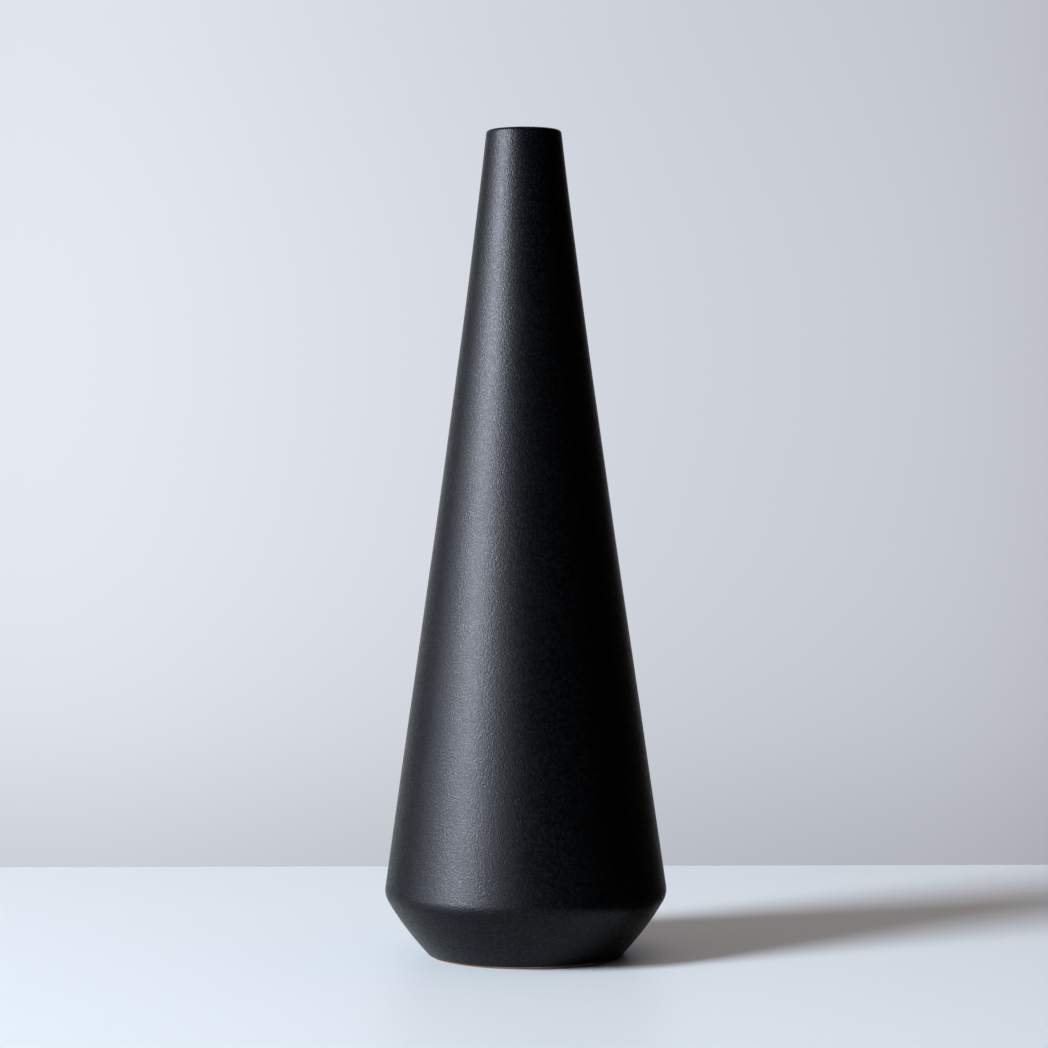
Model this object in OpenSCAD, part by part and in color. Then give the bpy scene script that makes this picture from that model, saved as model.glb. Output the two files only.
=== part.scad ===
// Tall black clay vase: a long cone on a low keel and a small flat foot.
// Built as a potter builds it: sections joined at stepped seams, under a black coat.
// Millimetres, +Z up, origin at the middle of the foot where it meets the table.

/* [Outline] */
// Height of the vase, from the table to the top of the lip
height = 300; // [270:1:330]
// Outer radius of the foot at the table
foot_r = 35.3; // [34:0.1:38]
// Radius of the corner where the lower band and the cone would meet
keel_r = 51.6; // [50:0.1:54]
// Height of that corner above the table
keel_z = 22.3; // [20:0.1:26]
// Outer radius of the mouth, before its edge is rounded
mouth_r = 13.6; // [13:0.1:15]
// How far the middle of the lower band bows outward
band_bow = 1.1; // [0:0.05:2]
// How far the cone's side is hollowed inward
cone_hollow = 0.9; // [0:0.02:2]
// Where the hollow lies: above 0 it moves up the cone
hollow_lean = 0.75; // [0:0.05:0.8]
// Radius of the rounding at the keel
keel_round = 7.1; // [7:0.1:8]
// Radius of the rounding on the outside and the inside of the lip
lip_round = 1.4; // [1.2:0.1:1.8]

/* [Walls] */
// Thickness of the wall, coat included
wall = 4.6; // [4:0.1:5.2]
// Radius of the open throat
throat_r = 9.5; // [9:0.1:9.8]
// Length of the straight part of the throat
throat_len = 12; // [8:0.5:14]
// Length over which the inside widens from the throat to the cone
throat_flare = 8; // [6:0.5:12]
// Thickness of the black coat outside
coat = 0.4; // [0.2:0.05:0.5]
// Thickness of the liner inside
liner = 0.3; // [0.2:0.05:0.4]

/* [Foot] */
// Height of the foot ring
ring_h = 6.5; // [6:0.1:7.5]
// Inner radius of the ring's bearing face
ring_in_r = 28.5; // [27:0.1:29.5]
// Width of the seat that holds the floor disc
seat_w = 3; // [2.5:0.1:3.5]
// Height of the floor disc's underside above the table
floor_gap = 2; // [1.5:0.1:3]
// Height of the bare clay left below the edge of the coat
bare_edge = 0.5; // [0.4:0.1:1.2]

/* [Seams] */
// Height of the tongue at each seam
tongue_h = 2; // [1.5:0.1:2.5]
// Height of the keel seam above the corner of the outline
keel_seam_rise = 2; // [1:0.5:4]
// Height of the lip ring, from its seam to the top
lip_ring_h = 20; // [18:0.5:22]
// Reach of the seam coil along the wall, each way from the keel
coil_reach = 7.5; // [6:0.5:9]
// Thickness of the seam coil at its middle
coil_thick = 3.6; // [3:0.1:4.5]

/* [Hidden] */
$fn = 96;

band_steps = 8;
cone_steps = 20;
arc_steps = 8;
band_end_step = 0.02; // share of the band over which its direction at the keel is taken
cone_end_step = 0.002; // the same for the cone, at the keel and at the lip
far = 2 * height;
clay_color = "#b98d68";
coat_color = "#17181b";
liner_color = "#26272b";

// Side of the lower band: a straight slope plus a parabola that bows it outward
function band_at(u) = [foot_r + (keel_r - foot_r) * u + 4 * band_bow * u * (1 - u), keel_z * u];

// Side of the cone: a straight slope less a parabola, weighted towards the top
function cone_at(v) = [
    keel_r + (mouth_r - keel_r) * v - 4 * cone_hollow * v * (1 - v) * (1 + hollow_lean * (2 * v - 1)),
    keel_z + (height - keel_z) * v
];

function unit(a) = a / norm(a);
function left_of(a) = [-a.y, a.x];

// Arc of radius r that rounds the corner p between the directions a, in, and b, out
function corner_arc(p, a, b, r) =
    let (half_turn = acos(a * b) / 2, start = p - a * r * tan(half_turn), side = left_of(a),
         centre = start + side * r)
    [for (i = [0 : arc_steps]) let (t = 2 * half_turn * i / arc_steps)
        centre + r * (a * sin(t) - side * cos(t))];

// Path moved by d to its left, with mitred corners; its two ends move square to the path
function moved(path, d) = [for (i = [0 : len(path) - 1])
    let (before = unit(path[max(i, 1)] - path[max(i, 1) - 1]),
         after = unit(path[min(i, len(path) - 2) + 1] - path[min(i, len(path) - 2)]))
    path[i] + left_of(before + after) * d / (1 + before * after)];

function reversed(path) = [for (i = [len(path) - 1 : -1 : 0]) path[i]];

// Centre of the circle through three points
function circle_centre(a, b, c) =
    let (m = b - a, n = c - a, k = 2 * (m.x * n.y - m.y * n.x))
    a + [n.y * (m * m) - m.y * (n * n), m.x * (n * n) - n.x * (m * m)] / k;

// Outline of the outside, from just under the table, up over the lip and down the throat
band_end_way = unit(band_at(1) - band_at(1 - band_end_step));
cone_start_way = unit(cone_at(cone_end_step) - cone_at(0));
cone_end_way = unit(cone_at(1) - cone_at(1 - cone_end_step));
keel_cut = keel_round * tan(acos(band_end_way * cone_start_way) / 2);
lip_cut = lip_round * tan(acos(cone_end_way * [-1, 0]) / 2);
band_last = 1 - keel_cut / norm(band_at(1) - band_at(0));
cone_first = keel_cut / (height - keel_z);
cone_last = 1 - lip_cut / (height - keel_z);
throat_end_z = height - lip_round - throat_len;

band_side = [for (i = [-1 : band_steps - 1]) band_at(band_last * i / band_steps)];
keel_turn = corner_arc(band_at(1), band_end_way, cone_start_way, keel_round);
cone_side = [for (i = [1 : cone_steps - 1])
    cone_at(cone_first + (cone_last - cone_first) * i / cone_steps)];
lip_outside = corner_arc([mouth_r, height], cone_end_way, [-1, 0], lip_round);
lip_inside = corner_arc([throat_r, height], [-1, 0], [0, -1], lip_round);
outside_rise = concat(band_side, keel_turn, cone_side);
outside_path = concat(outside_rise, lip_outside, lip_inside, [[throat_r, throat_end_z]]);
clay_path = moved(outside_path, coat);

// Inside of the clay: a flat floor, the wall followed at its thickness, and a flare up to the throat
clay_throat_r = throat_r + coat;
flare_z = throat_end_z - throat_flare;
function radius_at(path, z) = lookup(z, [for (p = path) [p.y, p.x]]);

// Seams: the foot ring's top, the keel, and the bottom of the lip ring
keel_seam_z = keel_z + keel_seam_rise;
lip_seam_z = height - lip_ring_h;
tongue_w = wall / 3;
seat_r = ring_in_r + seat_w;

// Seam coil: a round face from the band, over the keel's inside corner, to the cone
keel_in_way = left_of(unit(band_end_way + cone_start_way));
keel_in = band_at(1) + keel_in_way * wall / cos(acos(band_end_way * cone_start_way) / 2);
coil_centre = circle_centre(keel_in - band_end_way * coil_reach, keel_in + keel_in_way * coil_thick,
    keel_in + cone_start_way * coil_reach);
coil_r = norm(keel_in + keel_in_way * coil_thick - coil_centre);

// Everything between two heights, and between two radii
module slab(low, high, inner = 0, outer = far) {
    translate([inner, low])
        square([outer - inner, high - low]);
}

// Hollow inside a skin of the given thickness on the clay, ending at the throat in the given radius
module hollow(skin, end_r) {
    face = moved(outside_rise, wall + skin);
    intersection() {
        polygon(concat(face, [[0, height], [0, 0]]));
        slab(ring_h + skin, flare_z);
    }
    polygon([[0, flare_z], [radius_at(face, flare_z), flare_z], [end_r, throat_end_z], [0, throat_end_z]]);
}

// Round face of the seam coil, grown by a skin
module coil_face(skin) {
    translate(coil_centre)
        circle(r = coil_r + skin);
}

// All the clay of the wall, cut off square at the table
module wall_clay() {
    difference() {
        polygon(concat(clay_path, [[0, throat_end_z], [0, 0]]));
        hollow(0, clay_throat_r);
        slab(-far, 0);
    }
}

// Tongue that rises from height low, in the middle of what the leaning wall has over its whole height
module tongue(low) {
    ends = [low, low + tongue_h];
    inner = max([for (z = ends) radius_at(moved(outside_rise, wall), z)]);
    outer = min([for (z = ends) radius_at(clay_path, z)]);
    middle = (inner + outer) / 2;
    slab(ends[0], ends[1], middle - tongue_w / 2, middle + tongue_w / 2);
}

module foot_tongue() {
    tongue(ring_h - tongue_h);
}

module keel_tongue() {
    tongue(keel_seam_z);
}

module lip_tongue() {
    tongue(lip_seam_z);
}

module foot_ring() {
    color(clay_color)
        rotate_extrude()
            difference() {
                intersection() {
                    wall_clay();
                    slab(0, ring_h, ring_in_r);
                }
                slab(floor_gap, ring_h, 0, seat_r);
                foot_tongue();
            }
}

module floor_disc() {
    color(clay_color)
        translate([0, 0, floor_gap])
            cylinder(r = seat_r, h = ring_h - floor_gap);
}

module lower_band() {
    color(clay_color)
        rotate_extrude()
            union() {
                intersection() {
                    wall_clay();
                    slab(ring_h, keel_seam_z);
                }
                foot_tongue();
                keel_tongue();
            }
}

module seam_coil() {
    color(clay_color)
        rotate_extrude()
            intersection() {
                hollow(0, clay_throat_r);
                coil_face(0);
            }
}

module cone_wall() {
    color(clay_color)
        rotate_extrude()
            difference() {
                union() {
                    intersection() {
                        wall_clay();
                        slab(keel_seam_z, lip_seam_z);
                    }
                    lip_tongue();
                }
                keel_tongue();
            }
}

module lip_ring() {
    color(clay_color)
        rotate_extrude()
            difference() {
                intersection() {
                    wall_clay();
                    slab(lip_seam_z, far);
                }
                lip_tongue();
            }
}

module outer_coat() {
    color(coat_color)
        rotate_extrude()
            difference() {
                polygon(concat(outside_path, reversed(clay_path)));
                slab(-far, bare_edge);
            }
}

module inner_coat() {
    color(liner_color)
        rotate_extrude()
            difference() {
                hollow(0, clay_throat_r);
                coil_face(0);
                difference() {
                    hollow(liner, throat_r);
                    coil_face(liner);
                }
            }
}

foot_ring();
floor_disc();
lower_band();
seam_coil();
cone_wall();
lip_ring();
outer_coat();
inner_coat();
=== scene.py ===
import math

import bpy
import numpy as np
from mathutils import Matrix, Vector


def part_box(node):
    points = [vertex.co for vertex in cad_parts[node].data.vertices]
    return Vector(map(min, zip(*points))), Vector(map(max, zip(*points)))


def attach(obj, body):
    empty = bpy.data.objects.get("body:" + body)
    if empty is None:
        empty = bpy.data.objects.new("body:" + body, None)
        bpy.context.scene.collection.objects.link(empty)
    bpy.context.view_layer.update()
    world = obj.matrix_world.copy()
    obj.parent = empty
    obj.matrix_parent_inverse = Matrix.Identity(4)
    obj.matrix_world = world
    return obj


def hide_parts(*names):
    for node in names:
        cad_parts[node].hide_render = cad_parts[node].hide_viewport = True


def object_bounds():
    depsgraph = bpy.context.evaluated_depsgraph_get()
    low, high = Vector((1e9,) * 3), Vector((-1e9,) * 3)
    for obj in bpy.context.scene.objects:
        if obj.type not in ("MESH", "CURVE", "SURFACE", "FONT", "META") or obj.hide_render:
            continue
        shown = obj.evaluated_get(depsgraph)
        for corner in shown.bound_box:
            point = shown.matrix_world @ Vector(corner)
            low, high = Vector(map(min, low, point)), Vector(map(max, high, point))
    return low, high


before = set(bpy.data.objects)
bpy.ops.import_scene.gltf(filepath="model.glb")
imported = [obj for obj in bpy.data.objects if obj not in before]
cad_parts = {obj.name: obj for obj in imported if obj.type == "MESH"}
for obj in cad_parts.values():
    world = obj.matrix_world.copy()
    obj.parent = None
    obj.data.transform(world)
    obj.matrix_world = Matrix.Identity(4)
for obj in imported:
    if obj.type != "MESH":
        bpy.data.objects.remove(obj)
cadLow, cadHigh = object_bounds()
print("frame loaded:", len(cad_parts), "nodes,", round(cadHigh.z * 1000, 1), "mm tall")

mm = 0.001          # every shape below is worked out in millimetres
fullTurn = 2 * math.pi
creaseAngle = math.radians(50)      # edges sharper than this show as creases

# the pot as its maker would write it down; the frame's own box gives the height
form = {
    "height": cadHigh.z / mm,
    "footRadius": 35.3,
    "keelRadius": 51.6,      # where the band and the cone would meet in a sharp corner
    "keelHeight": 22.3,
    "mouthRadius": 13.6,
    "bandBow": 1.10,         # outward bow of the lower band
    "coneHollow": 0.90,      # inward hollow of the cone
    "hollowLean": 0.75,      # above 0 the hollow lies further up the cone
    "keelRound": 7.1,
    "lipRound": 1.4,
    "throatRadius": 9.5,
    "throatLength": 12.0,
    "throatFlare": 8.0,
    "wall": 4.6,
    "coat": 0.4,
    "liner": 0.3,
}


# a direction is a vector over its own length
def unitOf(vectors):
    return vectors / np.linalg.norm(vectors, axis=-1, keepdims=True)


# a quarter turn to the left
def leftOf(vectors):
    return np.stack([-vectors[..., 1], vectors[..., 0]], axis=-1)


# distance travelled along a path up to each of its points
def lengthAlong(path):
    steps = np.linalg.norm(np.diff(path, axis=0), axis=1)
    return np.concatenate([[0.0], np.cumsum(steps)])


# radius and height on a path at any distances along it, straight between its points
def onPath(path, along):
    travelled = lengthAlong(path)
    return np.stack([np.interp(along, travelled, path[:, k]) for k in (0, 1)], axis=-1)


# the same path with its points an even step apart
def evenPath(path, step):
    total = lengthAlong(path)[-1]
    return onPath(path, np.linspace(0, total, int(math.ceil(total / step)) + 1))


# direction square to the path, to its left, from the points before and after
def leftNormals(path):
    return leftOf(unitOf(np.gradient(path, axis=0)))


# each point shifted to the left of the path by the same distance
def movedPath(path, distance):
    return path + leftNormals(path) * distance


# arc of a circle that touches both straight lines through a corner
def cornerArc(corner, wayIn, wayOut, radius, count=24):
    halfTurn = math.acos(float(wayIn @ wayOut)) / 2
    side = leftOf(wayIn)
    centre = corner - wayIn * radius * math.tan(halfTurn) + side * radius
    turn = np.linspace(0, 2 * halfTurn, count)[:, None]
    return centre + radius * (wayIn * np.sin(turn) - side * np.cos(turn))


# lower band: a straight slope plus a parabola
def bandSide(u):
    run = form["keelRadius"] - form["footRadius"]
    radius = form["footRadius"] + run * u + 4 * form["bandBow"] * u * (1 - u)
    return np.stack([radius, form["keelHeight"] * u], axis=-1)


# cone: a straight slope less a parabola that leans up or down the side
def coneSide(v):
    run = form["mouthRadius"] - form["keelRadius"]
    lean = 1 + form["hollowLean"] * (2 * v - 1)
    radius = form["keelRadius"] + run * v - 4 * form["coneHollow"] * v * (1 - v) * lean
    return np.stack([radius, form["keelHeight"] + (form["height"] - form["keelHeight"]) * v], axis=-1)


# the arc of radius r that truly touches two curved sides: its centre is where both sides, moved inward
# by r, cross; returns the arc and how many points of each side are kept
def touchingArc(before, after, radius, count=24):
    movedBefore, movedAfter = movedPath(before, radius), movedPath(after, radius)
    gaps = np.linalg.norm(movedBefore[:, None, :] - movedAfter[None, :, :], axis=-1)
    i, j = np.unravel_index(np.argmin(gaps), gaps.shape)
    centre = (movedBefore[i] + movedAfter[j]) / 2
    first, last = before[i] - centre, after[j] - centre
    start, finish = math.atan2(first[1], first[0]), math.atan2(last[1], last[0])
    turn = np.linspace(start, finish, count)[1:-1]
    return centre + radius * np.stack([np.cos(turn), np.sin(turn)], axis=-1), i + 1, j


# how many points each side gets, and the stretch of each in which the keel's arc may touch it
sampling = {"band": 1500, "cone": 12000, "bandFrom": 700, "coneTo": 1500, "lipWay": 30, "lipGap": 0.02}


# whole outside from the table over the keel and the lip to the throat's lower end,
# and the distances along it where the keel and the lip begin and end
def outsidePath():
    band = bandSide(np.linspace(0, 1, sampling["band"]))
    cone = coneSide(np.linspace(0, 1, sampling["cone"]))
    bandFrom = sampling["bandFrom"]
    keel, bandKept, coneFrom = touchingArc(band[bandFrom:], cone[:sampling["coneTo"]], form["keelRound"])
    topWay = unitOf(cone[-1] - cone[-sampling["lipWay"]])
    inward, down = np.array([-1.0, 0.0]), np.array([0.0, -1.0])
    throat, top = form["throatRadius"], form["height"]
    lipOut = cornerArc(cone[-1], topWay, inward, form["lipRound"])
    lipIn = cornerArc(np.array([throat, top]), inward, down, form["lipRound"])
    throatEnd = np.array([[throat, top - form["lipRound"] - form["throatLength"]]])
    rise = cone[coneFrom:]
    rise = rise[rise[:, 1] < lipOut[0, 1] - sampling["lipGap"]]
    parts = [band[:bandFrom + bandKept], keel, rise, lipOut, lipIn, throatEnd]
    path = np.concatenate(parts)
    ends = lengthAlong(path)[np.cumsum([len(p) for p in parts]) - 1]
    return path, {"keelStart": ends[0], "keelEnd": ends[1], "lipStart": ends[2], "lipEnd": ends[4],
                  "end": ends[5]}


outside, marks = outsidePath()
evenStep = 0.1
outsideEven = evenPath(outside, evenStep)
claySide = movedPath(outsideEven, form["coat"])      # the clay under the coat


# slow unevenness of the hand: a few long waves round and up the wall, between 0 and 1
def handWave(angle, height, seed, waves=7):
    rng = np.random.default_rng(seed)
    total = np.zeros(np.broadcast(angle, height).shape)
    for _ in range(waves):
        around = rng.integers(1, 5)
        up = rng.uniform(0.3, 2.2) * fullTurn / 100     # up to about two waves in 100 mm of height
        total = total + np.cos(around * angle + up * height + rng.uniform(0, fullTurn)) / around
    return 0.5 + 0.5 * np.tanh(total * 0.8)


# turned surface: point (row, column) is radius * (cos, sin) of the column's angle, at its height.
# The rows either close into a loop or start and end on the axis, where one point stands for the row.
def turnedMesh(name, radius, height, angle, onAxis=False):
    rows, columns = radius.shape
    points = np.stack([radius * np.cos(angle), radius * np.sin(angle), height], axis=-1) * mm
    row = np.arange(rows if not onAxis else rows - 1)[:, None]
    column = np.arange(columns)[None, :]
    nextRow, nextColumn = (row + 1) % rows, (column + 1) % columns
    here, beyond = row * columns, nextRow * columns
    corners = (here + column, here + nextColumn, beyond + nextColumn, beyond + column)
    quads = np.stack(np.broadcast_arrays(*corners), axis=-1)
    if onAxis:      # the first and last rows shrink to their first points
        quads = quads[1:-1]
        inner = np.arange(columns)
        after = (inner + 1) % columns
        start = np.stack([np.zeros(columns, int), columns + after, columns + inner], axis=-1)
        last = (rows - 1) * columns
        before = last - columns
        finish = np.stack([np.full(columns, last), before + inner, before + after], axis=-1)
        keep = np.r_[0, np.arange(columns, last), last]
        newNumber = np.zeros(rows * columns, int)
        newNumber[keep] = np.arange(len(keep))
        points = points.reshape(-1, 3)[keep]
        faces = [newNumber[start], newNumber[quads.reshape(-1, 4)], newNumber[finish]]
    else:
        points = points.reshape(-1, 3)
        faces = [quads.reshape(-1, 4)]
    mesh = bpy.data.meshes.new(name)
    mesh.vertices.add(len(points))
    mesh.vertices.foreach_set("co", points.astype(np.float32).ravel())
    sizes = np.concatenate([np.full(len(f), f.shape[1]) for f in faces])
    mesh.loops.add(int(sizes.sum()))
    numbers = np.concatenate([f.ravel() for f in faces])
    mesh.loops.foreach_set("vertex_index", numbers.astype(np.int32))
    mesh.polygons.add(len(sizes))
    starts = np.concatenate([[0], np.cumsum(sizes)[:-1]])
    mesh.polygons.foreach_set("loop_start", starts.astype(np.int32))
    mesh.polygons.foreach_set("loop_total", sizes.astype(np.int32))
    mesh.update(calc_edges=True)
    mesh.validate()
    mesh.polygons.foreach_set("use_smooth", np.ones(len(sizes), bool))
    mesh.set_sharp_from_angle(angle=creaseAngle)
    piece = bpy.data.objects.new(name, mesh)
    bpy.context.scene.collection.objects.link(piece)
    return piece


# evenly spaced rows over several stretches: (from, to, how many) for each
def spanRows(*spans):
    return np.concatenate([np.linspace(a, b, n, endpoint=False) for a, b, n in spans])


# angle of each column, an even share of a full turn apart
def columnAngles(columns):
    return np.linspace(0, fullTurn, columns, endpoint=False)[None, :]


# radius and height of a section's points, carried round to every column
def roundTable(section, angle):
    return section[:, :1] + 0 * angle, section[:, 1:] + 0 * angle


# black coat: the outside path pulled in by the coat's own thinning at its lower edge and by a slow
# unevenness, then back along the clay. Its lower edge runs unevenly round the foot.
coatShape = {
    "columns": 288,
    "bareClay": 0.46,        # height of the clay left bare at the foot
    "bareClaySwing": 0.18,   # how far the edge wanders up and down
    "edgeRound": 0.45,       # length over which the coat thins out at its edge
    "settled": 3.0,          # past this length along the path the rows no longer follow the edge
    "unevenness": 0.07,
    "lipFade": 20,           # length over which the unevenness dies out below the lip
    "seed": 11,
}


# height of the coat's lower edge: a sum of waves round the foot, the short ones weaker
def coatEdge(angle):
    rng = np.random.default_rng(coatShape["seed"])
    swing = np.zeros_like(angle)
    for around in (1, 2, 3, 5, 8, 13, 21, 34):
        swing += np.cos(around * angle + rng.uniform(0, fullTurn)) / around ** 0.6
    return coatShape["bareClay"] + coatShape["bareClaySwing"] * swing / np.abs(swing).max()


# the thinning is a quarter circle: full at the edge, none at the end of the rounding
def makeOuterCoat():
    angle = columnAngles(coatShape["columns"])
    slope = unitOf(outside[5] - outside[0])[1]
    edge = coatEdge(angle) / slope                      # along the path, from the table
    soft, settled = coatShape["edgeRound"], coatShape["settled"]
    keelStart, keelEnd, lipStart, lipEnd, end = marks.values()
    front = spanRows((0, soft, 8), (soft, settled, 6), (settled, keelStart, 13), (keelStart, keelEnd, 12),
                     (keelEnd, lipStart, 132), (lipStart, lipEnd, 24), (lipEnd, end, 8))
    front = np.append(front, end)[:, None]
    along = np.where(front < settled, edge + front * (settled - edge) / settled, front)
    normals = leftNormals(outsideEven)
    travelled = lengthAlong(outsideEven)
    square = np.stack([np.interp(along, travelled, normals[:, k]) for k in (0, 1)], axis=-1)
    thinning = 1 - np.sqrt(1 - (1 - np.clip((along - edge) / soft, 0, 1)) ** 2)
    point = onPath(outsideEven, along)
    fade = np.clip((lipStart - along) / coatShape["lipFade"], 0, 1) * (1 - thinning)
    dip = form["coat"] * thinning + coatShape["unevenness"] * fade * handWave(angle, point[..., 1], 3)
    point = point + square * dip[..., None]
    back = spanRows((end, lipEnd, 3), (lipEnd, lipStart, 16), (lipStart, keelEnd, 14),
                    (keelEnd, keelStart, 8), (keelStart, settled, 4))[:, None]
    behind = np.broadcast_to(back, (len(back), angle.shape[1])) * lengthAlong(claySide)[-1] / end
    hidden = onPath(claySide, behind)
    both = np.concatenate([point, hidden])
    return turnedMesh("blackCoat", both[..., 0], both[..., 1], angle)


coatPiece = makeOuterCoat()
print("coat:", len(coatPiece.data.polygons), "faces")


# radius of the clay's outside at a height, read off the path under the coat
def clayRadius(height):
    rising = claySide[:np.argmax(claySide[:, 1])]
    return np.interp(height, rising[:, 1], rising[:, 0])


# closed outline with each listed corner rounded by its own radius, its points an even step apart; the
# corners run anticlockwise
def roundedOutline(corners, radii, step, arcPoints=7):
    corners = np.array(corners, float)
    outline = []
    for i, radius in enumerate(radii):
        before, here, after = corners[i - 1], corners[i], corners[(i + 1) % len(corners)]
        wayIn, wayOut = unitOf(here - before), unitOf(after - here)
        turnsLeft = leftOf(wayIn) @ wayOut > 0
        if radius == 0:
            outline.append(here[None, :])
        elif turnsLeft:
            outline.append(cornerArc(here, wayIn, wayOut, radius, arcPoints))
        else:           # a hollow corner is the same arc drawn in a mirror
            flip = np.array([1.0, -1.0])
            outline.append(cornerArc(here * flip, wayIn * flip, wayOut * flip, radius, arcPoints) * flip)
    closed = np.concatenate(outline + [outline[0][:1]])
    return evenPath(closed, step)[:-1]


# foot ring: bare clay section with worn edges, a seat for the floor and a groove for the band's tongue
footShape = {
    "columns": 240,
    "innerRadius": 28.5,
    "seatWidth": 3.0,
    "gap": 2.0,              # from the table up to the floor disc
    "wornEdge": 0.45,        # rounding at the ring's inside edge; the outside one has a little less
    "wornIn": 0.2,           # how far the outside edge is worn back from the clay's side
    "wornHeight": 0.25,      # height at which that side is read
    "seatRound": 0.2,
    "grooveDepth": 2.0,
    "drag": 0.05,            # depth of the marks left by the sponge
    "dragTight": 9,          # how close together they lie
    "dragReach": 0.4,        # height above the table at which they are gone
    "step": 0.3,
}


# the sponge marks are fine rings that waver, and they fade out just above the table
def makeFootRing():
    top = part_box("foot_ring")[1].z / mm
    low = top - footShape["grooveDepth"]
    bore, gap, worn = footShape["innerRadius"], footShape["gap"], footShape["wornEdge"]
    seat = bore + footShape["seatWidth"]
    wallInside = movedPath(outsideEven, form["wall"])[:400]      # only its first 40 mm, where it rises
    inner = np.interp(top, wallInside[:, 1], wallInside[:, 0])
    outer = clayRadius(low)
    middle, half = (inner + outer) / 2, form["wall"] / 6
    heel = clayRadius(footShape["wornHeight"]) - footShape["wornIn"]
    corners = [(bore, 0), (heel, 0), (clayRadius(top * 0.5), top * 0.5), (clayRadius(top), top),
               (middle + half, top), (middle + half, low), (middle - half, low),
               (middle - half, top), (seat, top), (seat, gap), (bore, gap)]
    radii = [worn, worn * 0.7, 0, 0, 0, 0, 0, 0, 0, 0, footShape["seatRound"]]
    angle = columnAngles(footShape["columns"])
    radius, height = roundTable(roundedOutline(corners, radii, footShape["step"]), angle)
    underside = np.clip(1 - height / footShape["dragReach"], 0, 1)
    waver = radius * footShape["dragTight"] + 2 * handWave(angle, radius * 3, 5)
    marksLeft = footShape["drag"] * (0.5 + 0.5 * np.sin(waver))
    lifted = height + underside * marksLeft * handWave(angle, radius * 8, 6)
    return turnedMesh("footRing", radius, lifted, angle)


# floor disc: a slab whose underside keeps the spiral of the trimming tool
floorShape = {
    "columns": 160,
    "rows": 84,              # from the middle out to the rim
    "pitch": 2.3,
    "ridge": 0.11,
    "edgeRound": 0.3,
    "middleFade": 4,         # the spiral dies out towards the middle and towards the rim
    "rimGap": 2,
    "rimFade": 3,
    "reach": 0.2,            # the ridges move only what lies this close to the underside
}


# the spiral is a sine of the radius in turns less the angle, sharpened to narrow ridges
def makeFloorDisc():
    low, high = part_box("floor_disc")
    bottom, top, rim = low.z / mm, high.z / mm, high.x / mm
    angle = columnAngles(floorShape["columns"])
    soft = floorShape["edgeRound"]
    out = np.linspace(0, rim - soft, floorShape["rows"])
    back = out[::-6]                                    # the hidden top has a sixth of the rows
    up = np.linspace(bottom + soft, top - soft, 6)
    corner = np.linspace(-math.pi / 2, 0, 5)[1:-1]
    upper = -corner[::-1]
    radius = np.concatenate([out, rim - soft + soft * np.cos(corner), np.full(len(up), rim),
                             rim - soft + soft * np.cos(upper), back])
    height = np.concatenate([np.full(len(out), bottom), bottom + soft + soft * np.sin(corner), up,
                             top - soft + soft * np.sin(upper), np.full(len(back), top)])
    radius[-1] = 0
    radius, height = roundTable(np.stack([radius, height], axis=-1), angle)
    spiral = radius / floorShape["pitch"] * fullTurn - angle
    inFade = np.clip(radius / floorShape["middleFade"], 0, 1)
    outFade = np.clip((rim - floorShape["rimGap"] - radius) / floorShape["rimFade"], 0, 1)
    ridge = (0.5 + 0.5 * np.sin(spiral)) ** 1.5 * inFade * outFade
    depth = floorShape["ridge"] * ridge * np.clip(1 - (height - bottom) / floorShape["reach"], 0, 1)
    return turnedMesh("floorDisc", radius, height + depth, angle, onAxis=True)


# liner: the hollow's own path from the middle of the floor up to the throat, carried over the seam
# coil, with soft throwing rings; the rows then go back down along the clay
linerShape = {
    "columns": 192,
    "coilReach": 7.5,        # along the wall, each way from the keel
    "coilThick": 3.6,
    "bandNear": 0.98,        # each side's direction at the keel is taken from here to its end
    "coneNear": 0.002,
    "ringPitch": 6.5,
    "ringDepth": 0.10,
    "ringsFrom": 10,         # heights between which the throwing rings show
    "ringsTo": 276,
    "ringsFade": 10,
    "insideStep": 1.0,
    "backStep": 2.5,
    "floorRows": 30,
    "underRows": 8,
}


# centre of the circle through three points
def circleCentre(a, b, c):
    m, n = b - a, c - a
    k = 2 * (m[0] * n[1] - m[1] * n[0])
    return a + np.array([n[1] * (m @ m) - m[1] * (n @ n), m[0] * (n @ n) - n[0] * (m @ m)]) / k


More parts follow.
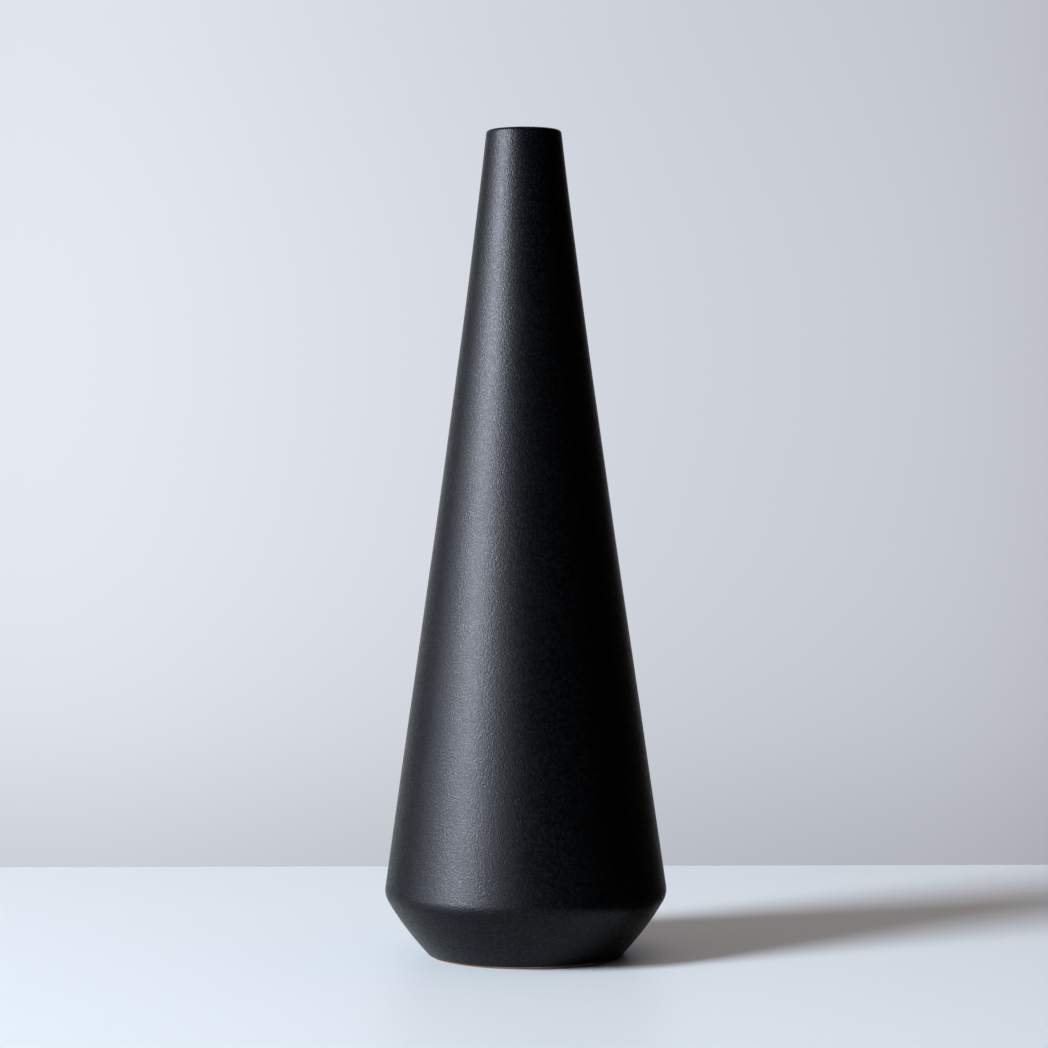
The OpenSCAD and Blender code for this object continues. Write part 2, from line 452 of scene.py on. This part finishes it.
# the hollow's side with a skin of the given thickness on it, from floor height to throat; a point
# inside the coil's circle is pushed out square to the wall until it lies on it
def hollowSide(skin, endRadius):
    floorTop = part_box("floor_disc")[1].z / mm + skin
    rising = outsideEven[:np.argmax(outsideEven[:, 1])]
    side = movedPath(rising, form["wall"] + skin)
    throatEnd = form["height"] - form["lipRound"] - form["throatLength"]
    side = side[(side[:, 1] > floorTop) & (side[:, 1] < throatEnd - form["throatFlare"])]
    bandWay, coneWay = (unitOf(np.diff(f(np.array([a, b])), axis=0)[0])
                        for f, a, b in ((bandSide, linerShape["bandNear"], 1.0),
                                        (coneSide, 0.0, linerShape["coneNear"])))
    inWay = leftOf(unitOf(bandWay + coneWay))
    corner = bandSide(1.0) + inWay * form["wall"] / math.cos(math.acos(bandWay @ coneWay) / 2)
    crest = corner + inWay * linerShape["coilThick"]
    arm = linerShape["coilReach"]
    centre = circleCentre(corner - bandWay * arm, crest, corner + coneWay * arm)
    reach = np.linalg.norm(crest - centre) + skin
    square = leftNormals(side)
    offset = side - centre                              # how far each point has to go to clear the coil
    across = (offset * square).sum(axis=1)
    away = (offset ** 2).sum(axis=1)
    pushed = np.sqrt(np.clip(across ** 2 - away + reach ** 2, 0, None)) - across
    lift = np.where(away < reach ** 2, pushed, 0)
    side = side + square * lift[:, None]
    start = np.array([[side[0, 0], floorTop]])
    return np.concatenate([start, side, [[endRadius, throatEnd]]])


# the throwing rings are one long spiral: a sine of the height in turns less the angle
def makeLiner():
    angle = columnAngles(linerShape["columns"])
    inner = evenPath(hollowSide(form["liner"], form["throatRadius"]), linerShape["insideStep"])
    against = evenPath(hollowSide(0.0, form["throatRadius"] + form["coat"]), linerShape["backStep"])[::-1]
    across = np.linspace(0, inner[0, 0], linerShape["floorRows"], endpoint=False)
    floorRows = np.stack([across, np.full(len(across), inner[0, 1])], axis=-1)
    under = np.linspace(against[-1, 0], 0, linerShape["underRows"])[1:]
    underRows = np.stack([under, np.full(len(under), against[-1, 1])], axis=-1)
    section = np.concatenate([floorRows, inner, against, underRows])
    radius, height = roundTable(section, angle)
    row = np.arange(len(section))[:, None]
    shown = (row < len(floorRows) + len(inner)) & (row >= len(floorRows))
    ring = np.sin(height / linerShape["ringPitch"] * fullTurn - angle)
    lowFade = np.clip((height - linerShape["ringsFrom"]) / linerShape["ringsFade"], 0, 1)
    highFade = np.clip((linerShape["ringsTo"] - height) / linerShape["ringsFade"], 0, 1)
    fade = lowFade * highFade * shown
    radius = radius - linerShape["ringDepth"] * fade * (0.5 + 0.5 * ring)
    return turnedMesh("liner", radius[::-1], height[::-1], angle, onAxis=True)


footPiece, floorPiece, linerPiece = makeFootRing(), makeFloorDisc(), makeLiner()
for made in (footPiece, floorPiece, linerPiece):
    print(made.name + ":", len(made.data.polygons), "faces")


# one node of a material; the extra words set its sockets by name
def addNode(tree, kind, place, settings=None, **sockets):
    node = tree.nodes.new(kind)
    node.location = place
    for key, value in (settings or {}).items():
        setattr(node, key, value)
    for key, value in sockets.items():
        node.inputs[key.replace("_", " ")].default_value = value
    return node


# empty material with a shader, and the coordinates of the piece itself
def newMaterial(name):
    material = bpy.data.materials.new(name)
    material.use_nodes = True
    tree = material.node_tree
    tree.nodes.clear()
    output = addNode(tree, "ShaderNodeOutputMaterial", (900, 0))
    shader = addNode(tree, "ShaderNodeBsdfPrincipled", (600, 0))
    place = addNode(tree, "ShaderNodeTexCoord", (-900, 0)).outputs["Object"]
    tree.links.new(shader.outputs["BSDF"], output.inputs["Surface"])
    return material, tree, shader, place


# soft random cloud: noise with features about "size" millimetres across, on the piece's own coordinates
def cloud(tree, place, size, at, detail=2.0, roughness=0.5):
    noise = addNode(tree, "ShaderNodeTexNoise", at, Scale=1 / (size * mm), Detail=detail,
                    Roughness=roughness)
    tree.links.new(place, noise.inputs["Vector"])
    return noise.outputs["Fac"]


# a value carried from one range into another
def ranged(tree, value, low, high, newLow, newHigh, at):
    node = addNode(tree, "ShaderNodeMapRange", at, From_Min=low, From_Max=high, To_Min=newLow,
                   To_Max=newHigh)
    tree.links.new(value, node.inputs["Value"])
    return node.outputs["Result"]


# a value turned into a colour between two others
def tinted(tree, value, dark, light, at):
    node = addNode(tree, "ShaderNodeMix", at, settings={"data_type": "RGBA"})
    node.inputs[6].default_value = (*dark, 1)
    node.inputs[7].default_value = (*light, 1)
    tree.links.new(value, node.inputs[0])
    return node.outputs[2]


# raises the surface by a height field; depth in millimetres
def bumped(tree, height, depth, at, under=None):
    node = addNode(tree, "ShaderNodeBump", at, Strength=1.0, Distance=depth * mm)
    tree.links.new(height, node.inputs["Height"])
    if under is not None:
        tree.links.new(under, node.inputs["Normal"])
    return node.outputs["Normal"]


coatLook = {
    "dark": (0.0002, 0.0003, 0.0006),
    "light": (0.0056, 0.0076, 0.0098),
    "grainSize": 0.62,       # spacing of the sandy grains
    "grainDepth": 0.070,
    "fineSize": 0.36,
    "fineDepth": 0.042,
    "roughLow": 0.335,
    "roughHigh": 0.362,
    "grainRough": 0.12,      # how much one grain differs from the next in roughness
    "sheenSize": 18,         # size of the slow patches of sheen
    "specular": 0.13,
}


# matte black: sandy grains, each a small dome with its own height, tone and roughness, under a slow
# unevenness of the sheen
def coatMaterial():
    material, tree, shader, place = newMaterial("matteBlackCoat")
    grains = addNode(tree, "ShaderNodeTexVoronoi", (-650, 0), Scale=1 / (coatLook["grainSize"] * mm),
                     Randomness=1.0)
    tree.links.new(place, grains.inputs["Vector"])
    own = ranged(tree, grains.outputs["Color"], 0.25, 0.75, 0, 1, (-400, 250))
    dome = ranged(tree, grains.outputs["Distance"], 0, 0.8, 1, 0, (-400, 0))
    height = addNode(tree, "ShaderNodeMath", (-150, 0), settings={"operation": "MULTIPLY"})
    tree.links.new(dome, height.inputs[0])
    tree.links.new(ranged(tree, own, 0, 1, 0.4, 1.0, (-400, -250)), height.inputs[1])
    pale = ranged(tree, own, 0.45, 1.0, 0, 1, (-250, 300))      # only the palest grains stand out
    tone = tinted(tree, pale, coatLook["dark"], coatLook["light"], (-100, 250))
    tree.links.new(tone, shader.inputs["Base Color"])
    slow = cloud(tree, place, coatLook["sheenSize"], (-650, 500), detail=3.0)
    sheen = addNode(tree, "ShaderNodeMath", (150, 450), settings={"operation": "ADD"})
    base = ranged(tree, slow, 0.35, 0.65, coatLook["roughLow"], coatLook["roughHigh"], (-100, 550))
    tree.links.new(base, sheen.inputs[0])
    spread = coatLook["grainRough"] / 2
    tree.links.new(ranged(tree, own, 0, 1, spread, -spread, (-100, 400)), sheen.inputs[1])
    tree.links.new(sheen.outputs[0], shader.inputs["Roughness"])
    shader.inputs["Specular IOR Level"].default_value = coatLook["specular"]
    fine = cloud(tree, place, coatLook["fineSize"], (-650, -350), detail=1.0)
    surface = bumped(tree, height.outputs[0], coatLook["grainDepth"], (100, -100))
    surface = bumped(tree, fine, coatLook["fineDepth"], (350, -200), surface)
    tree.links.new(surface, shader.inputs["Normal"])
    return material


clayLook = {
    "dark": (0.27, 0.120, 0.052),
    "light": (0.60, 0.340, 0.180),
    "grogSize": 0.7,
    "grogDepth": 0.06,
    "grogShare": 0.6,        # how much of the colour the grog decides; the blush has the rest
    "blushSize": 9,
    "roughLow": 0.8,
    "roughHigh": 0.95,
    "specular": 0.3,
}


# bare fired clay: warm and sandy, darker where the grog shows
def clayMaterial():
    material, tree, shader, place = newMaterial("bareClay")
    grog = cloud(tree, place, clayLook["grogSize"], (-600, 0), detail=3.0, roughness=0.6)
    blush = cloud(tree, place, clayLook["blushSize"], (-600, 250), detail=2.0)
    mixed = addNode(tree, "ShaderNodeMath", (-350, 150), settings={"operation": "MULTIPLY_ADD"})
    mixed.inputs[1].default_value = clayLook["grogShare"]
    tree.links.new(grog, mixed.inputs[0])
    tree.links.new(ranged(tree, blush, 0.3, 0.7, 0.0, 0.4, (-350, 350)), mixed.inputs[2])
    tone = tinted(tree, mixed.outputs[0], clayLook["dark"], clayLook["light"], (-100, 150))
    tree.links.new(tone, shader.inputs["Base Color"])
    rough = ranged(tree, grog, 0.3, 0.7, clayLook["roughHigh"], clayLook["roughLow"], (-100, -50))
    tree.links.new(rough, shader.inputs["Roughness"])
    shader.inputs["Specular IOR Level"].default_value = clayLook["specular"]
    tree.links.new(bumped(tree, grog, clayLook["grogDepth"], (200, -200)), shader.inputs["Normal"])
    return material


linerLook = {
    "dark": (0.010, 0.010, 0.011),
    "light": (0.026, 0.026, 0.028),
    "cloudSize": 12,
    "peelSize": 1.6,         # fine dimples in the glaze
    "peelDepth": 0.04,
    "roughLow": 0.28,
    "roughHigh": 0.42,
}


# liner: thin black glaze, glossier than the coat, cloudy where it ran thin
def linerMaterial():
    material, tree, shader, place = newMaterial("blackLiner")
    slow = cloud(tree, place, linerLook["cloudSize"], (-600, 200), detail=4.0)
    peel = cloud(tree, place, linerLook["peelSize"], (-600, -100))
    tone = tinted(tree, slow, linerLook["dark"], linerLook["light"], (-100, 200))
    tree.links.new(tone, shader.inputs["Base Color"])
    rough = ranged(tree, slow, 0.3, 0.7, linerLook["roughLow"], linerLook["roughHigh"], (-100, 0))
    tree.links.new(rough, shader.inputs["Roughness"])
    tree.links.new(bumped(tree, peel, linerLook["peelDepth"], (200, -200)), shader.inputs["Normal"])
    return material


# gives a piece one material in place of any it had
def dress(piece, material):
    piece.data.materials.clear()
    piece.data.materials.append(material)


coatFinish, clayFinish, linerFinish = coatMaterial(), clayMaterial(), linerMaterial()
dress(coatPiece, coatFinish)
dress(linerPiece, linerFinish)
for piece in (footPiece, floorPiece):
    dress(piece, clayFinish)
for node in ("lower_band", "seam_coil", "cone_wall", "lip_ring"):
    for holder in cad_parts[node].material_slots:
        holder.material = clayFinish
print("materials done")

for piece, node, slot in ((coatPiece, "outer_coat", "black_coat"), (linerPiece, "inner_coat", "liner"),
                          (footPiece, "foot_ring", "bare_clay"), (floorPiece, "floor_disc", "bare_clay")):
    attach(piece, "root")
    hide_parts(node)

# camera: a long lens a little over a metre away, just above the middle, looking slightly down
cameraSetup = {
    "distance": 1.0973,
    "height": 0.1797,
    "sideways": -0.00030,
    "lookDown": 1.191,
    "lean": -0.141,
    "lens": 103.46,
    "sensor": 36,
    "farthest": 30,
}


# level, then tipped down by the look, then turned a little about its own line of sight
def placeCamera():
    data = bpy.data.cameras.new("camera")
    data.lens = cameraSetup["lens"]
    data.sensor_width = cameraSetup["sensor"]
    data.clip_end = cameraSetup["farthest"]
    camera = bpy.data.objects.new("camera", data)
    camera.location = (cameraSetup["sideways"], -cameraSetup["distance"], cameraSetup["height"])
    tilt = math.radians(90 - cameraSetup["lookDown"])
    camera.rotation_euler = (tilt, 0, 0)
    camera.rotation_mode = "XYZ"
    camera.rotation_euler.rotate_axis("Z", math.radians(cameraSetup["lean"]))
    bpy.context.scene.collection.objects.link(camera)
    bpy.context.scene.camera = camera


placeCamera()

# stage: a pale table that ends a hand's width behind the vase, and a wall well behind it that glows with
# painted light and painted shade. Only the near part of the table throws light back at the vase; the
# parts to its left, right and front don't.
stageSetup = {
    "tableBack": 0.237,
    "nearFront": -0.19,
    "nearLeft": -0.20,
    "nearRight": 0.06,
    "tableFront": -6.0,
    "tableHalfWidth": 5.0,
    "tableThick": 0.03,
    "tableColour": (0.725, 0.80, 0.88),
    "tableShade": 0.985,     # the darker patches of the table, as a share of its colour
    "tablePatch": 60,
    "tableRough": 0.45,
    "tableSpecular": 0.18,
    "wallBehind": 1.60,
    "wallHalfWidth": 3.5,
    "wallThick": 0.02,
    "wallBottom": -1.5,
    "wallTop": 3.0,
}


# flat-sided box from its lowest and highest corners
def makeSlab(name, low, high):
    x, y, z = (np.array([a, b]) for a, b in zip(low, high))
    points = np.stack(np.meshgrid(x, y, z, indexing="ij"), axis=-1).reshape(-1, 3)
    faces = [(0, 1, 3, 2), (4, 6, 7, 5), (0, 4, 5, 1), (2, 3, 7, 6), (0, 2, 6, 4), (1, 5, 7, 3)]
    mesh = bpy.data.meshes.new(name)
    mesh.from_pydata(points.tolist(), [], faces)
    slab = bpy.data.objects.new(name, mesh)
    bpy.context.scene.collection.objects.link(slab)
    return slab


# four slabs side by side for the table, and one upright slab for the wall
def makeStage():
    half, thick, back = stageSetup["tableHalfWidth"], stageSetup["tableThick"], stageSetup["tableBack"]
    left, right, front = stageSetup["nearLeft"], stageSetup["nearRight"], stageSetup["nearFront"]
    material, tree, shader, place = newMaterial("tableTop")
    pale = stageSetup["tableColour"]
    patches = cloud(tree, place, stageSetup["tablePatch"], (-600, 0))
    shade = tinted(tree, patches, [c * stageSetup["tableShade"] for c in pale], pale, (-200, 0))
    tree.links.new(shade, shader.inputs["Base Color"])
    shader.inputs["Roughness"].default_value = stageSetup["tableRough"]
    shader.inputs["Specular IOR Level"].default_value = stageSetup["tableSpecular"]
    spans = {
        "table": ((left, front), (right, back)),
        "tableLeft": ((-half, front), (left, back)),
        "tableRight": ((right, front), (half, back)),
        "tableFront": ((-half, stageSetup["tableFront"]), (half, front)),
    }
    tables = [makeSlab(name, (*low, -thick), (*high, 0)) for name, (low, high) in spans.items()]
    for table in tables:
        dress(table, material)
    for table in tables[1:]:
        table.visible_diffuse = table.visible_glossy = False
    wide, behind = stageSetup["wallHalfWidth"], stageSetup["wallBehind"]
    wall = makeSlab("wall", (-wide, behind, stageSetup["wallBottom"]),
                    (wide, behind + stageSetup["wallThick"], stageSetup["wallTop"]))
    # the wall's glow is painted light and painted shade, not a lit surface
    dress(wall, paintedWallGlowMaterial())
    wall.visible_diffuse = False


# painted light on the wall: glow colours from left to right along the part that shows, near black far to
# the right, and painted shade in how its brightness changes with height, darkest near the table
wallPaintedLight = {
    "halfView": 0.470,
    "across": ((-4.5, (0.36, 0.38, 0.40)), (-2.0, (0.70, 0.74, 0.79)), (-1.0, (0.820, 0.860, 0.915)),
               (-0.5, (0.740, 0.780, 0.840)), (0.0, (0.665, 0.700, 0.760)), (0.5, (0.605, 0.630, 0.695)),
               (1.0, (0.565, 0.586, 0.642)), (1.35, (0.30, 0.30, 0.32)), (2.0, (0.03, 0.03, 0.03)),
               (4.5, (0.03, 0.03, 0.03))),
    "up": ((-0.19, 0.735), (-0.06, 0.93), (0.10, 0.98), (0.35, 1.0), (0.60, 0.94)),
}


# smooth ramp over an axis of the wall: positions are carried into 0 to 1 between the first and last stops
def toneRamp(tree, value, stops, at):
    first, last = stops[0][0], stops[-1][0]
    node = addNode(tree, "ShaderNodeValToRGB", at)
    ramp = node.color_ramp
    ramp.interpolation = "B_SPLINE"
    while len(ramp.elements) < len(stops):
        ramp.elements.new(0.5)
    for element, (where, tone) in zip(ramp.elements, stops):
        element.position = (where - first) / (last - first)
        element.color = (*tone, 1) if isinstance(tone, tuple) else (tone, tone, tone, 1)
    tree.links.new(ranged(tree, value, first, last, 0, 1, (at[0] - 200, at[1])), node.inputs["Fac"])
    return node.outputs["Color"]


# wall that glows by itself though it is no lamp: its painted light across times its painted shade with
# height
def paintedWallGlowMaterial():
    material = bpy.data.materials.new("paintedWallGlow")
    material.use_nodes = True
    tree = material.node_tree
    tree.nodes.clear()
    output = addNode(tree, "ShaderNodeOutputMaterial", (900, 0))
    glow = addNode(tree, "ShaderNodeEmission", (700, 0), Strength=1.0)
    parts = addNode(tree, "ShaderNodeSeparateXYZ", (-700, 0))
    tree.links.new(addNode(tree, "ShaderNodeTexCoord", (-900, 0)).outputs["Object"], parts.inputs[0])
    scaled = [(x * wallPaintedLight["halfView"], tone) for x, tone in wallPaintedLight["across"]]
    product = addNode(tree, "ShaderNodeMix", (400, 0),
                      settings={"data_type": "RGBA", "blend_type": "MULTIPLY"})
    product.inputs[0].default_value = 1.0
    # painted light falloff across the wall, times painted shade up its height
    tree.links.new(toneRamp(tree, parts.outputs["X"], scaled, (0, 150)), product.inputs[6])
    tree.links.new(toneRamp(tree, parts.outputs["Z"], wallPaintedLight["up"], (0, -150)), product.inputs[7])
    tree.links.new(product.outputs[2], glow.inputs["Color"])
    tree.links.new(glow.outputs[0], output.inputs["Surface"])
    return material


makeStage()

# lights: the key, from the left front, and the dim warm sheet overhead act on matte surfaces only, and
# light the table. A leaning strip, a wide dim glow round it and a small strip low in front act on glossy
# surfaces only: the first two draw the long highlight, the third lifts the lower band.
lights = {
    "key": {
        "azimuth": 59.0, "elevation": 30, "lean": 0, "distance": 3.2, "size": (1.05, 1.6),
        "power": 167, "colour": (0.905, 0.955, 0.985), "onlyFor": "diffuse",
    },
    "strip": {
        "azimuth": 60.5, "elevation": 17, "lean": 25, "distance": 1.2, "size": (0.64, 1.25),
        "power": 79, "colour": (0.80, 0.86, 1.0), "onlyFor": "glossy",
    },
    "stripGlow": {
        "azimuth": 70, "elevation": 17, "lean": 15, "distance": 1.2, "size": (1.75, 1.25),
        "power": 28, "colour": (0.84, 0.89, 1.0), "onlyFor": "glossy",
    },
    "stripFoot": {
        "azimuth": 26, "elevation": 3, "lean": 0, "distance": 1.2, "size": (0.45, 0.45),
        "power": 3.0, "colour": (0.80, 0.86, 1.0), "onlyFor": "glossy",
    },
    "overhead": {
        "azimuth": 0, "elevation": 90, "lean": 0, "distance": 1.3, "size": (2.6, 2.6),
        "power": 9.6, "colour": (1.0, 0.775, 0.645), "onlyFor": "diffuse",
    },
}


# soft box aimed at the middle of the vase; azimuth is counted from the camera's side towards the left,
# and lean turns the box about the line to the vase
def softBox(name, azimuth, elevation, lean, distance, size, power, colour, onlyFor):
    data = bpy.data.lights.new(name, "AREA")
    data.shape = "ELLIPSE"
    data.size, data.size_y = size
    data.energy = power
    data.color = colour
    lamp = bpy.data.objects.new(name, data)
    a, e = math.radians(azimuth), math.radians(elevation)
    way = np.array([-math.sin(a) * math.cos(e), -math.cos(a) * math.cos(e), math.sin(e)])
    target = np.array([0, 0, form["height"] * mm / 2])
    lamp.location = target + way * distance
    lamp.rotation_euler = (math.radians(90 - elevation), 0, -a)
    lamp.rotation_euler.rotate_axis("Z", math.radians(lean))
    lamp.visible_camera = False
    lamp.visible_glossy = onlyFor == "glossy"
    lamp.visible_diffuse = onlyFor == "diffuse"
    bpy.context.scene.collection.objects.link(lamp)


for name, setup in lights.items():
    softBox(name, **setup)


# room: pale to the eye, but it throws no light on the vase
def makeRoom(shown=(0.60, 0.62, 0.66)):
    world = bpy.data.worlds.new("room")
    bpy.context.scene.world = world
    world.use_nodes = True
    world.node_tree.nodes["Background"].inputs["Color"].default_value = (*shown, 1)
    seenBy = world.cycles_visibility
    seenBy.diffuse = seenBy.glossy = seenBy.transmission = seenBy.scatter = False


makeRoom()
bpy.context.scene.view_settings.view_transform = "Standard"
print("camera, stage and lights done")
